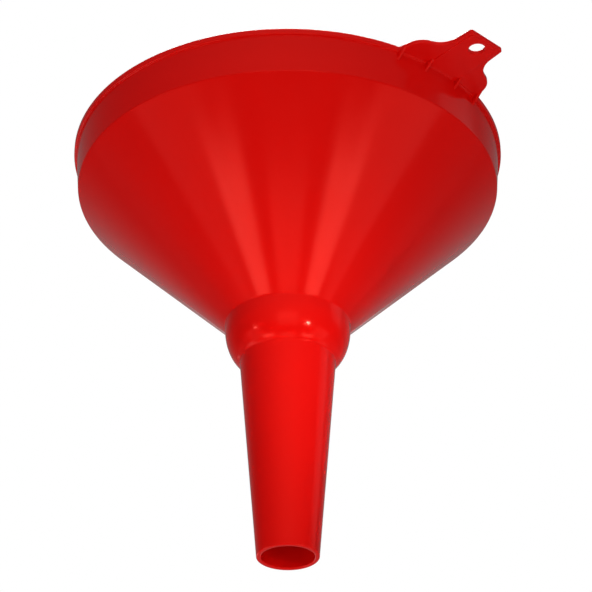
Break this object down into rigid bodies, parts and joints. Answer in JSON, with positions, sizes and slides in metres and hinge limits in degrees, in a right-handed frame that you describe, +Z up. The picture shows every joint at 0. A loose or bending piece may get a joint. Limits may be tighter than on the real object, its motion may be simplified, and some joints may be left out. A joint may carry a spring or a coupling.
{
  "type": "funnel",
  "caption": "Conical fuel funnel with a short band and lip, a rounded neck, a tapered spout, a hang tab and a lift-out gauze strainer.",
  "frame": {"origin": "centre of the spout's open end, on its end face", "axes": "+Z up along the funnel's axis from the spout to the bowl's mouth, +X towards the hang tab, +Y across it"},
  "size_m": [0.1811, 0.16, 0.1632],
  "materials": {
    "red_polyethylene": "semi-gloss, smooth moulded",
    "black_polyethylene": "satin moulded",
    "brass_wire": "plain woven wire"
  },
  "bodies": {
    "funnel": {"funnel_body": "red_polyethylene"},
    "strainer": {"strainer_frame": "black_polyethylene", "strainer_clamp_ring": "black_polyethylene", "strainer_gauze": "brass_wire"}
  },
  "joints": [
    {"name": "strainer_lift", "type": "slide", "parent": "funnel", "child": "strainer", "axis": [0, 0, 1], "range_m": [0, 0.09]}
  ]
}
